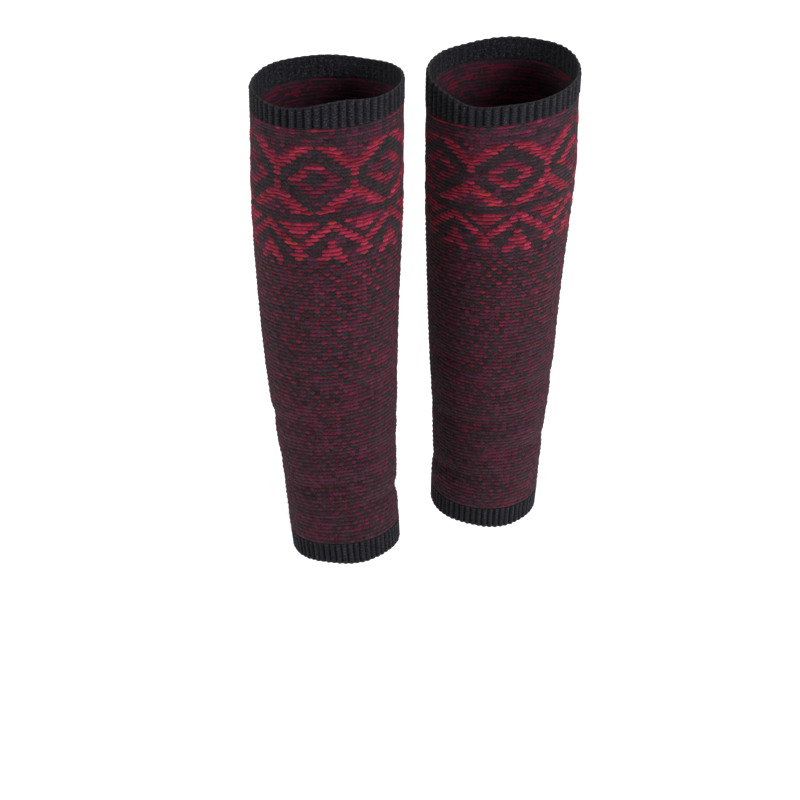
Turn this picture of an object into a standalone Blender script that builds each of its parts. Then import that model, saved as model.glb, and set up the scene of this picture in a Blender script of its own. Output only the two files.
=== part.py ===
"""A pair of knitted leg warmers as they are worn: two hollow tubes, open at both ends.

Metres, +Z up, +X to the right and -Y towards the viewer. The origin lies midway between the two
legs, half way up the top cuffs, where the legs hold the knit. Left and right are as seen from the
front. Each leg warmer is knitted in three pieces: a ribbed top cuff, a patterned body and a
ribbed bottom cuff.
"""

import math
from bisect import bisect_right
from typing import NamedTuple

import bmesh
import bpy
from mathutils import Matrix, Vector

MM = 0.001

# Lengths down the leg, in mm
CUFF_LENGTH = 17.5
BODY_LENGTH = 345.0
TOTAL_LENGTH = CUFF_LENGTH + BODY_LENGTH + CUFF_LENGTH
RIM_HEIGHT = CUFF_LENGTH / 2
SEAM_GAP = 0.3

# Thickness of the knit, in mm
KNIT_WALL = 2.2
RIB_VALLEY_SUNK = 0.4
RIB_CREST_PROUD = 0.8
LIP_LENGTH = 1.6
LIP_ROUNDING = 0.7

# How finely the rings are cut
RIB_COUNT = 56
RIB_POINTS = ((-0.28, RIB_CREST_PROUD), (0.28, RIB_CREST_PROUD), (0.5, -RIB_VALLEY_SUNK))
BODY_POINTS_ROUND = 48
BODY_SPANS = 13

# Colours as linear red, green, blue
CHARCOAL = (0.018, 0.018, 0.022)
WINE = (0.062, 0.016, 0.025)
WOOL_ROUGHNESS = 0.95


class Section(NamedTuple):
    """One level of a leg, in mm: how far it is below the rim, how wide and deep the knit is
    there over its outside, how far the leg's middle has moved aside (+X) and ahead (-Y), and how
    far the rows of stitches are turned up on their +X side, in degrees."""

    drop: float
    width: float
    depth: float
    aside: float
    ahead: float
    turned: float


class Leg(NamedTuple):
    """One leg warmer: its name, the middle of its rim in mm, and its sections from the rim to
    the hem."""

    name: str
    rim_x: float
    rim_y: float
    sections: tuple


LEFT = Leg(
    name="left",
    rim_x=-66.0,
    rim_y=-11.0,
    sections=(
        Section(drop=0, width=115.0, depth=116.6, aside=0.0, ahead=0.0, turned=3.2),
        Section(drop=20, width=114.6, depth=116.4, aside=0.0, ahead=0.6, turned=3.2),
        Section(drop=70, width=114.4, depth=116.4, aside=-0.6, ahead=2.6, turned=3.0),
        Section(drop=125, width=111.6, depth=113.8, aside=-0.6, ahead=5.6, turned=2.6),
        Section(drop=185, width=106.2, depth=107.4, aside=0.4, ahead=9.6, turned=1.8),
        Section(drop=245, width=98.0, depth=98.6, aside=2.6, ahead=14.2, turned=1.0),
        Section(drop=310, width=89.0, depth=89.0, aside=6.6, ahead=18.8, turned=0.4),
        Section(drop=380, width=83.0, depth=83.0, aside=12.0, ahead=23.4, turned=0.0),
    ),
)

RIGHT = Leg(
    name="right",
    rim_x=65.4,
    rim_y=11.0,
    sections=(
        Section(drop=0, width=114.8, depth=116.6, aside=0.0, ahead=0.0, turned=2.6),
        Section(drop=20, width=114.6, depth=116.4, aside=-0.5, ahead=-1.4, turned=2.6),
        Section(drop=70, width=114.2, depth=115.6, aside=-0.9, ahead=-4.8, turned=2.4),
        Section(drop=125, width=109.4, depth=111.4, aside=-2.7, ahead=-7.8, turned=2.0),
        Section(drop=185, width=103.4, depth=104.8, aside=-4.3, ahead=-10.6, turned=1.4),
        Section(drop=245, width=96.2, depth=97.0, aside=-5.6, ahead=-13.4, turned=0.8),
        Section(drop=310, width=88.2, depth=88.4, aside=-7.4, ahead=-16.6, turned=0.3),
        Section(drop=380, width=83.0, depth=83.0, aside=-10.6, ahead=-20.2, turned=0.0),
    ),
)


def clear_scene():
    """Removes what a new Blender file starts with."""
    for obj in list(bpy.data.objects):
        bpy.data.objects.remove(obj, do_unlink=True)


def between(sections, drop, column):
    """The named column at any drop, read from one smooth curve through the table's rows: a cubic
    over each gap, whose slope at a row is that of the line through the rows on either side."""
    drops = [row.drop for row in sections]
    values = [getattr(row, column) for row in sections]
    last = len(drops) - 1

    def slope(row):
        before = max(row - 1, 0)
        after = min(row + 1, last)
        return (values[after] - values[before]) / (drops[after] - drops[before])

    low = min(max(bisect_right(drops, drop) - 1, 0), last - 1)
    gap = drops[low + 1] - drops[low]
    t = (drop - drops[low]) / gap
    return (
        (2 * t**3 - 3 * t**2 + 1) * values[low]
        + (t**3 - 2 * t**2 + t) * gap * slope(low)
        + (3 * t**2 - 2 * t**3) * values[low + 1]
        + (t**3 - t**2) * gap * slope(low + 1)
    )


def middle(leg, drop):
    """The middle of the leg at this drop, in mm from the middle of the rim."""
    aside = between(leg.sections, drop, "aside")
    ahead = between(leg.sections, drop, "ahead")
    return Vector((aside, -ahead, -drop))


def ring(leg, drop, outline):
    """One closed row of points round the leg, square to the leg's line and then turned up on one
    side. outline lists (angle, offset): the angle runs from the front towards +X, and the offset
    in mm is measured outwards from the section's width and depth."""
    step = TOTAL_LENGTH / 100
    up = (middle(leg, drop - step) - middle(leg, drop + step)).normalized()
    across = (Vector((1, 0, 0)) - up * up.x).normalized()
    back = up.cross(across)
    turned = math.radians(between(leg.sections, drop, "turned"))
    across = Matrix.Rotation(-turned, 3, back) @ across
    half_width = between(leg.sections, drop, "width") / 2
    half_depth = between(leg.sections, drop, "depth") / 2
    points = []
    for angle, offset in outline:
        right = math.sin(angle) * (half_width + offset)
        front = math.cos(angle) * (half_depth + offset)
        points.append((middle(leg, drop) + across * right - back * front) * MM)
    return points


def round_outline(count, offset):
    """An outline of evenly spaced points, all with one offset."""
    return [(2 * math.pi * i / count, offset) for i in range(count)]


def ribbed_outline(sunk):
    """The ribs round a cuff: each has a flat crest and a narrow valley. sunk moves all inwards."""
    pitch = 2 * math.pi / RIB_COUNT
    outline = []
    for rib in range(RIB_COUNT):
        for place, offset in RIB_POINTS:
            outline.append(((rib + place) * pitch, offset - sunk))
    return outline


def plain_behind(outline, offset):
    """A plain outline at the same angles as a ribbed one, for the inside of its wall."""
    return [(angle, offset) for angle, _ in outline]


def closed_wall(name, rings):
    """A wall from a list of rings that runs up its outside and down its inside. Each ring is
    joined to the next, and the last one to the first, so the wall is one closed body."""
    shape = bmesh.new()
    rows = [[shape.verts.new(point) for point in points] for points in rings]
    for row, points in enumerate(rows):
        after = rows[(row + 1) % len(rows)]
        for i in range(len(points)):
            j = (i + 1) % len(points)
            shape.faces.new((points[i], points[j], after[j], after[i]))
    mesh = bpy.data.meshes.new(name)
    shape.to_mesh(mesh)
    shape.free()
    mesh.shade_smooth()
    mesh.set_sharp_from_angle(angle=math.radians(50))
    return mesh


def cuff_rings(leg, seam_drop, free_drop):
    """A ribbed cuff from its seam with the body to its free edge, whose lip is rounded over. The
    ribs stand out of the outside only."""
    towards_seam = math.copysign(LIP_LENGTH, seam_drop - free_drop)
    ribs = ribbed_outline(0.0)
    lip = ribbed_outline(LIP_ROUNDING)
    inside = plain_behind(ribs, -KNIT_WALL)
    rings = [
        ring(leg, seam_drop, ribs),
        ring(leg, free_drop + towards_seam, ribs),
        ring(leg, free_drop, lip),
        ring(leg, free_drop, plain_behind(ribs, LIP_ROUNDING / 2 - KNIT_WALL)),
        ring(leg, free_drop + towards_seam, inside),
        ring(leg, seam_drop, inside),
    ]
    return rings if free_drop < seam_drop else rings[::-1]


def body_rings(leg, top_drop, bottom_drop):
    """The patterned tube between the cuffs: up its outside, then down its inside."""
    drops = [bottom_drop + (top_drop - bottom_drop) * i / BODY_SPANS for i in range(BODY_SPANS + 1)]
    outside = round_outline(BODY_POINTS_ROUND, 0.0)
    inside = round_outline(BODY_POINTS_ROUND, -KNIT_WALL)
    return [ring(leg, drop, outside) for drop in drops] + [ring(leg, drop, inside) for drop in drops[::-1]]


def wool(name, colour):
    """A matt wool material of one colour."""
    material = bpy.data.materials.new(name)
    material.use_nodes = True
    shader = material.node_tree.nodes["Principled BSDF"]
    shader.inputs["Base Color"].default_value = (*colour, 1.0)
    shader.inputs["Roughness"].default_value = WOOL_ROUGHNESS
    shader.inputs["Metallic"].default_value = 0.0
    material.diffuse_color = (*colour, 1.0)
    return material


def add_piece(collection, parent, name, rings, material):
    """Puts one knitted piece into the collection, hung from its leg's rim."""
    mesh = closed_wall(name, rings)
    mesh.materials.append(material)
    piece = bpy.data.objects.new(name, mesh)
    piece.parent = parent
    collection.objects.link(piece)


def add_leg_warmer(collection, leg):
    """The three knitted pieces of one leg warmer, on an empty at the middle of its rim."""
    rim = bpy.data.objects.new(f"{leg.name}_rim", None)
    rim.location = Vector((leg.rim_x, leg.rim_y, RIM_HEIGHT)) * MM
    collection.objects.link(rim)
    half_gap = SEAM_GAP / 2
    upper_seam = CUFF_LENGTH
    lower_seam = CUFF_LENGTH + BODY_LENGTH
    pieces = {
        "top_cuff": (cuff_rings(leg, upper_seam - half_gap, 0.0), CHARCOAL),
        "body": (body_rings(leg, upper_seam + half_gap, lower_seam - half_gap), WINE),
        "bottom_cuff": (cuff_rings(leg, lower_seam + half_gap, TOTAL_LENGTH), CHARCOAL),
    }
    for piece, (rings, colour) in pieces.items():
        name = f"{leg.name}_{piece}"
        add_piece(collection, rim, name, rings, wool(f"{name}_wool", colour))


def main():
    """Builds both leg warmers in a collection of their own."""
    clear_scene()
    collection = bpy.data.collections.new("knitted_leg_warmers")
    bpy.context.scene.collection.children.link(collection)
    for leg in (LEFT, RIGHT):
        add_leg_warmer(collection, leg)


if __name__ == "__main__":
    main()
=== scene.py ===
"""The looks of a pair of knitted leg warmers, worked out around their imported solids.

Each leg warmer is a hollow tube of wool: a ribbed cuff at the top, a jacquard body charted stitch by
stitch, and a ribbed cuff at the hem. Tables are in millimetres, stitches or degrees, and meshes are
in metres. Left and right are as seen from the front, where -Y faces the viewer.
"""

import logging
import math
from dataclasses import dataclass
from enum import IntEnum
from typing import NamedTuple

import bpy
import numpy as np
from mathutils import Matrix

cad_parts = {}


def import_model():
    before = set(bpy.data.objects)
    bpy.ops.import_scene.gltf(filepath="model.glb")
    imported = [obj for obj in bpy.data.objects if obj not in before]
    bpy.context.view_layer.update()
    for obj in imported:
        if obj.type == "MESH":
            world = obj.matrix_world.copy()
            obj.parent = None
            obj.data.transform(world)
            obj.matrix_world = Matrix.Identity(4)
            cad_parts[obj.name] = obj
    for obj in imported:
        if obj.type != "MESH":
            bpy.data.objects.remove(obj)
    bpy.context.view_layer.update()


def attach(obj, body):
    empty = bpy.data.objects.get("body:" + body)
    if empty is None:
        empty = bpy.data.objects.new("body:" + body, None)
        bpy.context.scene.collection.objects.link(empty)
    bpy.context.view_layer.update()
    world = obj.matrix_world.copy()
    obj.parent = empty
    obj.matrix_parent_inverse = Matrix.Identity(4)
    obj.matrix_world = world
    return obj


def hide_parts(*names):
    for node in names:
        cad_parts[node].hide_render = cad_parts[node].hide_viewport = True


Colour = tuple[float, float, float]
Place = tuple[float, float, float]

LOG = logging.getLogger("leg_warmers")
MM = 0.001
TURN = 2 * math.pi

# Lengths down each leg, in mm from the top rim
CUFF_LENGTH = 17.5
BODY_LENGTH = 345.0
TOTAL_LENGTH = CUFF_LENGTH + BODY_LENGTH + CUFF_LENGTH
RIM_HEIGHT = CUFF_LENGTH / 2
SEAM_GAP = 0.3
KNIT_WALL = 2.2

# The knitting: stitches round a body, courses down it, and ribs round a cuff
WALES = 84
COURSES = 110
RIBS = 56

# Names of the mesh layers that the finishes read
YARN_LAYER = "yarn_colour"
# The loft layer sets where the finishes paint shade into the colour, between the stitches
SHADE_LOFT_LAYER = "loft"
MARL_LAYER = "marl"
KNIT_UV = "knit"

BODY = "root"


class Yarn(IntEnum):
    """The yarns that show on the outside, one for each stitch of the chart."""

    CHARCOAL = 0
    PLUM = 1
    WINE = 2
    RED = 3


class Noise(IntEnum):
    """The noises of a chart; each has its own number, so that each is drawn apart."""

    PLUM = 1
    MIXED = 2
    SPECKLE = 3
    DRIFT = 4
    FLECK = 5
    STITCH = 6
    THREAD = 7
    FIRST_COURSE = 8
    BACK = 9
    UNEVEN = 10


# Wales over which a streaky noise is averaged
STREAK_WALES = {
    Noise.PLUM: 3,
    Noise.MIXED: 4,
    Noise.SPECKLE: 1,
    Noise.DRIFT: 9,
    Noise.FLECK: 4,
    Noise.THREAD: 2,
    Noise.FIRST_COURSE: 3,
    Noise.BACK: 7,
}

# How much of the other yarns shows through each yarn, from 0 to 1
YARN_MARL = {Yarn.CHARCOAL: 0.34, Yarn.PLUM: 0.62, Yarn.WINE: 0.30, Yarn.RED: 0.0}


class Section(NamedTuple):
    """One level of a leg: its drop below the rim, the outer width and depth there, how far its
    middle has moved aside (+X) and ahead (-Y), all in mm, and how far its courses are turned up on
    their +X side, in degrees."""

    drop: float
    width: float
    depth: float
    aside: float
    ahead: float
    turned: float


class Crease(NamedTuple):
    """A soft trough in the knit: its drop in mm, the angle of its middle, its half length round
    the leg and its slant in degrees, its half width and its depth in mm."""

    drop: float
    angle: float
    half_length: float
    slant: float
    half_width: float
    depth: float


class Dip(NamedTuple):
    """A stretch where a level line hangs lower, or higher if negative: the angle of its middle
    and its half length in degrees, and its depth in mm."""

    angle: float
    half_length: float
    depth: float


class Wave(NamedTuple):
    """A slow wave round a leg: its height in mm, how many times it goes round, the length down the
    leg in which it turns by a radian, and its phase in radians."""

    height: float
    times: int
    length: float = math.inf
    phase: float = 0.0


# Waves of the knit's outside, of its courses, and of the hem; only the courses' go by courses
SWELL_WAVES = (Wave(0.28, 2, 23.0), Wave(0.22, 3, -31.0))
COURSE_WAVES = (Wave(0.7, 2, 9.0), Wave(0.5, 3, -6.0, 1.0))
HEM_WAVES = (Wave(0.8, 2, phase=0.6), Wave(0.5, 5))


@dataclass(frozen=True)
class LegForm:
    """The form of one worn leg warmer, as a surface of drop, angle and offset."""

    name: str
    rim_x: float
    rim_y: float
    sections: tuple[Section, ...]
    creases: tuple[Crease, ...]
    rim_dips: tuple[Dip, ...]
    seam_dips: tuple[Dip, ...]
    ride_up: float
    dip_fading: float = 75.0
    lift_fading: float = 30.0

    def column(self, name: str, drop: np.ndarray) -> np.ndarray:
        """Reads one column of the sections at any drop.

        It is a cubic over each gap, whose slope at a row is that of the line through the rows on
        either side.

        Args:
            name: The column.
            drop: Millimetres below the rim.

        Returns:
            The column's value at each drop.
        """
        drops = np.array([row.drop for row in self.sections], dtype=float)
        values = np.array([getattr(row, name) for row in self.sections], dtype=float)
        places = np.arange(len(drops))
        before = np.maximum(places - 1, 0)
        after = np.minimum(places + 1, len(drops) - 1)
        slopes = (values[after] - values[before]) / (drops[after] - drops[before])
        low = np.clip(np.searchsorted(drops, drop, side="right") - 1, 0, len(drops) - 2)
        gap = drops[low + 1] - drops[low]
        t = (drop - drops[low]) / gap
        return (
            (2 * t**3 - 3 * t**2 + 1) * values[low]
            + (t**3 - 2 * t**2 + t) * gap * slopes[low]
            + (3 * t**2 - 2 * t**3) * values[low + 1]
            + (t**3 - t**2) * gap * slopes[low + 1]
        )

    def middle(self, drop: np.ndarray) -> np.ndarray:
        """Finds the middle of the leg.

        Args:
            drop: Millimetres below the rim.

        Returns:
            Points in mm, with a last axis of three.
        """
        return np.stack(
            (
                self.rim_x + self.column("aside", drop),
                self.rim_y - self.column("ahead", drop),
                RIM_HEIGHT - drop,
            ),
            axis=-1,
        )

    def surface(self, drop: np.ndarray, angle: np.ndarray, offset: np.ndarray) -> np.ndarray:
        """Places points on the leg.

        A ring is an ellipse of the section's width and depth, square to the line of the leg's
        middles and then turned up on one side: middle + across * sin(angle) * half width
        - back * cos(angle) * half depth, with the offset added to both halves.

        Args:
            drop: Millimetres below the rim.
            angle: Radians from the front towards +X.
            offset: Millimetres outwards from the section's outside.

        Returns:
            Points in metres, with a last axis of three.
        """
        drop, angle, offset = np.broadcast_arrays(drop, angle, offset)
        step = TOTAL_LENGTH / 100
        up = unit(self.middle(drop - step) - self.middle(drop + step))
        across = unit(np.array((1.0, 0.0, 0.0)) - up * up[..., :1])
        back = np.cross(up, across)
        turned = -np.radians(self.column("turned", drop))[..., None]
        across = across * np.cos(turned) + np.cross(back, across) * np.sin(turned)
        right = np.sin(angle) * (self.column("width", drop) / 2 + offset)
        front = np.cos(angle) * (self.column("depth", drop) / 2 + offset)
        return (self.middle(drop) + across * right[..., None] - back * front[..., None]) * MM

    def hang(self, drop: np.ndarray, angle: np.ndarray) -> np.ndarray:
        """Gives how far the knit hangs below its even level.

        The rim's dips hold at the rim and pass into the seam's dips down the cuff. Below the seam
        those fade out exponentially, while the knit rides up there and less and less to the hem.

        Args:
            drop: Millimetres below the rim.
            angle: Radians from the front towards +X.

        Returns:
            Millimetres downwards.
        """
        below = np.clip(drop / CUFF_LENGTH, 0.0, 1.0)
        down_body = np.clip((drop - CUFF_LENGTH) / BODY_LENGTH, 0.0, 1.0)
        fading = np.exp(-down_body * BODY_LENGTH / self.dip_fading)
        lift = self.ride_up * (1 - np.exp(-self.lift_fading * down_body)) * (1 - down_body)
        rim, seam = (
            sum(dip.depth * bell(angle, dip.angle, dip.half_length) for dip in dips)
            for dips in (self.rim_dips, self.seam_dips)
        )
        return rim * (1 - below) + seam * below * fading - lift

    def softness(self, drop: np.ndarray, angle: np.ndarray) -> np.ndarray:
        """Gives the knit's own soft unevenness over the leg.

        Each crease is a trough with a bell-shaped cross-section and bell-shaped fading ends, and
        slow waves round and down the leg are added to them.

        Args:
            drop: Millimetres below the rim.
            angle: Radians from the front towards +X.

        Returns:
            Millimetres outwards.
        """
        drop, angle = np.broadcast_arrays(drop, angle)
        swell = waved(SWELL_WAVES, drop, angle)
        for crease in self.creases:
            along = away_from(angle, crease.angle) * math.tan(math.radians(crease.slant))
            across = np.exp(-(((drop - crease.drop - along) / crease.half_width) ** 2))
            swell = swell - crease.depth * across * bell(angle, crease.angle, crease.half_length)
        ends = np.clip(np.minimum(drop, TOTAL_LENGTH - drop) / (2 * CUFF_LENGTH), 0.0, 1.0)
        return swell * ends


def waved(waves: tuple[Wave, ...], down: np.ndarray, angle: np.ndarray) -> np.ndarray:
    """Adds up waves, each height * sin(times * angle + down / length + phase).

    Args:
        waves: The waves.
        down: How far down the leg, in the unit of their lengths.
        angle: Radians from the front towards +X.

    Returns:
        Millimetres.
    """
    return sum(
        wave.height * np.sin(wave.times * angle + down / wave.length + wave.phase) for wave in waves
    )


def unit(vectors: np.ndarray) -> np.ndarray:
    """Scales vectors along the last axis to a length of one."""
    return vectors / np.linalg.norm(vectors, axis=-1, keepdims=True)


def away_from(angle: np.ndarray, middle: float) -> np.ndarray:
    """Gives the degrees, from -180 to 180, between angles in radians and a middle in degrees."""
    return np.degrees(np.angle(np.exp(1j * (angle - math.radians(middle)))))


def bell(angle: np.ndarray, middle: float, half_length: float) -> np.ndarray:
    """Gives a bell curve round the leg, 1 at its middle; angles in radians, the rest in degrees."""
    return np.exp(-((away_from(angle, middle) / half_length) ** 2))


def seeded(name: str) -> np.random.Generator:
    """Gives random numbers that are the same on each run, drawn for a piece by its name."""
    return np.random.default_rng([ord(letter) for letter in name])


def scattered(
    random: np.random.Generator, scatter: tuple[float, float], shape: tuple[int, ...]
) -> np.ndarray:
    """Draws factors that scatter round 1.

    Args:
        random: Where they are drawn from.
        scatter: How far they scatter, and how far from 1 they may be.
        shape: How many there are.

    Returns:
        The factors.
    """
    spread, limit = scatter
    return np.clip(random.normal(1.0, spread, shape), 1 - limit, 1 + limit)


def smoothed(values: np.ndarray, reach: int, axis: int) -> np.ndarray:
    """Averages a grid along an axis.

    Args:
        values: The grid, which joins its own start at the end.
        reach: How many places to either side are taken in.
        axis: The axis.

    Returns:
        The smoother grid.
    """
    shifts = range(-reach, reach + 1)
    return sum(np.roll(values, shift, axis=axis) for shift in shifts) / len(shifts)


def unwrapped(place: np.ndarray, around: int) -> np.ndarray:
    """Carries a face's corners past the end of a round, where the face lies across its start.

    Args:
        place: The corners' places in the round, a row for each face.
        around: How long the round is.

    Returns:
        The places, with those just past the start made longer than the round.
    """
    across = place.max(axis=1, keepdims=True) - place.min(axis=1, keepdims=True) > around / 2
    return np.where(across & (place < around / 2), place + around, place)


LEFT_FORM = LegForm(
    name="left",
    rim_x=-66.0,
    rim_y=-11.0,
    # drop, width, depth, aside, ahead, turned
    sections=(
        Section(0, 115.0, 116.6, 0.0, 0.0, 3.2),
        Section(20, 114.6, 116.4, 0.0, 0.6, 3.2),
        Section(70, 114.4, 116.4, -0.6, 2.6, 3.0),
        Section(125, 111.6, 113.8, -0.6, 5.6, 2.6),
        Section(185, 106.2, 107.4, 0.4, 9.6, 1.8),
        Section(245, 98.0, 98.6, 2.6, 14.2, 1.0),
        Section(310, 89.0, 89.0, 6.6, 18.8, 0.4),
        Section(380, 83.0, 83.0, 12.0, 23.4, 0.0),
    ),
    # drop, angle, half_length, slant, half_width, depth
    creases=(
        Crease(232, 34, 44, 7, 8.0, 1.7),
        Crease(262, -58, 52, -6, 7.0, 2.1),
        Crease(288, 22, 60, 4, 7.5, 2.3),
        Crease(314, -24, 48, -5, 6.5, 2.5),
        Crease(334, 62, 55, 3, 6.0, 2.3),
        Crease(276, 150, 48, 5, 8.0, 2.3),
        Crease(306, -148, 55, -4, 7.0, 2.5),
        Crease(338, 172, 60, 3, 6.5, 2.3),
        Crease(118, 168, 40, 6, 9.0, 0.8),
        Crease(152, -160, 36, -7, 9.0, 0.7),
    ),
    # angle, half_length, depth
    rim_dips=(Dip(-38, 24, 2.0), Dip(12, 22, -4.0), Dip(-128, 26, -1.8), Dip(150, 24, 2.4)),
    seam_dips=(Dip(14, 60, -1.0), Dip(-88, 22, 1.2), Dip(168, 30, 1.6)),
    ride_up=3.2,
)

RIGHT_FORM = LegForm(
    name="right",
    rim_x=65.4,
    rim_y=11.0,
    # drop, width, depth, aside, ahead, turned
    sections=(
        Section(0, 114.8, 116.6, 0.0, 0.0, 2.6),
        Section(20, 114.6, 116.4, -0.5, -1.4, 2.6),
        Section(70, 114.2, 115.6, -0.9, -4.8, 2.4),
        Section(125, 109.4, 111.4, -2.7, -7.8, 2.0),
        Section(185, 103.4, 104.8, -4.3, -10.6, 1.4),
        Section(245, 96.2, 97.0, -5.6, -13.4, 0.8),
        Section(310, 88.2, 88.4, -7.4, -16.6, 0.3),
        Section(380, 83.0, 83.0, -10.6, -20.2, 0.0),
    ),
    # drop, angle, half_length, slant, half_width, depth
    creases=(
        Crease(226, -30, 40, -8, 8.5, 1.7),
        Crease(254, 42, 50, 6, 7.5, 2.1),
        Crease(284, -16, 58, -3, 7.0, 2.3),
        Crease(310, 48, 46, 5, 7.0, 2.5),
        Crease(336, -50, 56, -4, 6.0, 2.3),
        Crease(270, -152, 50, -5, 8.0, 2.3),
        Crease(300, 146, 52, 4, 7.0, 2.5),
        Crease(332, -170, 60, -3, 6.5, 2.3),
        Crease(124, -166, 42, -6, 9.0, 0.8),
        Crease(158, 158, 36, 6, 9.0, 0.7),
    ),
    # angle, half_length, depth
    rim_dips=(Dip(-25, 21, 5.0), Dip(14, 30, 1.2), Dip(122, 26, -2.0), Dip(-152, 24, 2.2)),
    seam_dips=(Dip(-74, 34, 7.6), Dip(-22, 20, 1.9), Dip(32, 22, -1.6), Dip(-172, 30, 1.6)),
    ride_up=1.4,
)


class Charted(NamedTuple):
    """What a chart says of every stitch: its yarn, how far it lies on the surface as a straight
    bar (0 for a plain stitch, 1 for a bar), how many courses it leans down, and how much of the
    other yarns shows through it, from 0 to 1."""

    yarn: np.ndarray
    lying: np.ndarray
    lean: np.ndarray
    marl: np.ndarray


@dataclass(frozen=True)
class YarnChart:
    """The jacquard of one leg warmer, course by course and wale by wale.

    Courses count down from the top cuff and wales round from the front towards +X. A band of
    diamonds comes first, then a zigzag, then a speckled ground down to the hem.
    """

    seed: int
    diamond_wale: int
    zigzag_wale: int
    speckle_wale: int
    # The bands, in courses, and the wales from one motif to the next
    top_rows: int = 5
    diamond_rows: int = 17
    separator_rows: int = 2
    zigzag_rows: int = 11
    diamond_period: int = 14
    zigzag_period: int = 12
    # An arm's wales, how far it stops from the middle course, and a small diamond's reach
    arm_wales: int = 3
    arm_stop: int = 3
    small_reach: int = 4
    # A stroke's courses, where its tail starts, and the courses of hanging and standing triangles
    stroke_rows: int = 2
    tail_row: int = 8
    hanging_rows: int = 4
    standing_rows: tuple[int, int] = (5, 9)
    # How many dots there are in so many wales of the speckled ground
    speckle_dots: tuple[int, int] = (2, 5)
    # The courses that an arm's bars sink for each wale, and the scatter of every stitch's lean
    lean: float = 0.42
    unevenness: float = 0.07
    # How much a streak takes from each of the courses beside it
    beside_share: float = 0.12
    # Plum's share of the top rows, diamonds, separator, zigzag, its last rows and the speckles
    plum_shares: tuple[float, ...] = (0.42, 0.08, 0.12, 0.16, 0.42, 0.28)
    triangle_plum: float = 0.50
    zigzag_last_rows: int = 2
    # The levels of a streak, from 0 to 1, past which a stitch takes a livelier yarn
    thread_level: float = 0.86
    birdseye_level: float = 0.55
    first_wine_level: float = 0.60
    first_red_level: float = 0.90
    speckle_red_level: float = 0.55
    speckle_wine_level: float = 0.15
    # The share of red among the bars of the small diamonds and of the triangles
    small_red: float = 0.50
    wedge_red: float = 0.90
    # How much the speckles dull towards the hem and on every second course
    hem_dulling: float = 0.30
    course_dulling: float = 0.28
    hem_courses: float = 46.0
    speckle_marl: float = 0.05
    # How far a short bar and a dot of the speckles lie on the surface
    short_lying: float = 0.6
    dot_lying: float = 0.9
    # How bright the yarns of the speckles are, and how much dimmer they get down the ground
    speckle_red_gain: float = 0.64
    speckle_wine_gain: float = 1.02
    hem_dimming: float = 0.35
    dim_courses: float = 60.0
    # The level past which a red stitch above the speckles is a bright fleck
    fleck_level: float = 0.965
    # How far the brightness of stitches and of their faces scatters round 1, and its limit
    stitch_scatter: tuple[float, float] = (0.20, 0.50)
    face_scatter: tuple[float, float] = (0.08, 0.25)
    # The levels of the floats behind, below which they are wine and above which they are plum
    back_levels: tuple[float, float] = (0.25, 0.72)
    back_wine_gain: float = 0.8

    @property
    def diamond_course(self) -> int:
        """The course through the middle of the diamonds."""
        return self.top_rows + self.diamond_rows // 2

    @property
    def zigzag_course(self) -> int:
        """The course on which the zigzag starts."""
        return self.top_rows + self.diamond_rows + self.separator_rows

    @property
    def speckle_course(self) -> int:
        """The course on which the speckled ground starts."""
        return self.zigzag_course + self.zigzag_rows

    def places(self) -> tuple[np.ndarray, np.ndarray]:
        """Lists the chart's courses as a column and its wales, below 0 to the left, as a row."""
        wale = np.arange(WALES)[None, :]
        return np.arange(COURSES)[:, None], np.where(wale < WALES // 2, wale, wale - WALES)

    def from_centre(self, wale: np.ndarray, centre: int, period: int) -> np.ndarray:
        """Measures how many wales each wale is from the nearest repeat of a motif's centre."""
        return np.abs((wale - centre + period // 2) % period - period // 2)

    def diamonds(self) -> tuple[np.ndarray, np.ndarray, np.ndarray, np.ndarray]:
        """Charts the band of diamonds.

        Each arm of a large diamond is three wales wide and steps one wale a course, until it
        meets its neighbour's over a dull waist. A small hollow diamond lies in each large one.
        Outside the arms, above and below the waists, are triangles of birdseye. The bars of an
        arm lean the way that it climbs.

        Returns:
            Masks of the arms, the small diamonds with the waists, and the triangles, and how many
            courses each stitch of an arm leans down.
        """
        course, wale = self.places()
        dx = self.from_centre(wale, self.diamond_wale, self.diamond_period)
        below = course - self.diamond_course
        dy = np.abs(below)
        half = self.diamond_rows // 2
        waist = self.diamond_period // 2
        inner_edge = 1 + half - dy
        outer_edge = inner_edge + self.arm_wales - 1
        band = (dy >= self.arm_stop) & (dy <= half)
        arm = (dx >= inner_edge) & (dx <= np.minimum(outer_edge, waist)) & band
        arm |= (dx == waist) & (dy == self.arm_stop - 1)
        small = (dx + dy >= self.small_reach - 1) & (dx + dy <= self.small_reach)
        small |= (dx == waist) & (dy == self.arm_stop - 2)
        from_middle = dx - inner_edge - self.arm_wales // 2
        return arm, small, (dx > outer_edge) & band, -np.sign(below) * from_middle * self.lean * arm

    def zigzags(self) -> tuple[np.ndarray, np.ndarray, np.ndarray]:
        """Charts the zigzag.

        A stroke two courses thick falls one course a wale from each peak to the valleys on both
        sides. Triangles hang from the top line over the valleys, and others, which are open at
        the foot, stand under the peaks.

        Returns:
            Masks of the strokes and of the triangles, and how many courses each stitch of a
            stroke leans down.
        """
        course, wale = self.places()
        row = course - self.zigzag_course
        dz = self.from_centre(wale, self.zigzag_wale, self.zigzag_period)
        from_valley = self.zigzag_period // 2 - dz
        falling = (row - dz >= 0) & (row - dz < self.stroke_rows)
        last = self.tail_row + (from_valley == 0)
        tail = (from_valley <= 1) & (row >= self.tail_row) & (row <= last)
        hanging = (from_valley < self.hanging_rows - row) & (row >= 0)
        first, last = self.standing_rows
        standing = (dz <= (row - first) // 2) & (row <= last) & ((row < last) | (dz >= 1))
        standing |= (dz == 2) & (row == last + 1)
        lean = (dz - row + (self.stroke_rows - 1) / 2) * self.lean * falling
        return falling | tail, hanging | standing, lean

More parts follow.
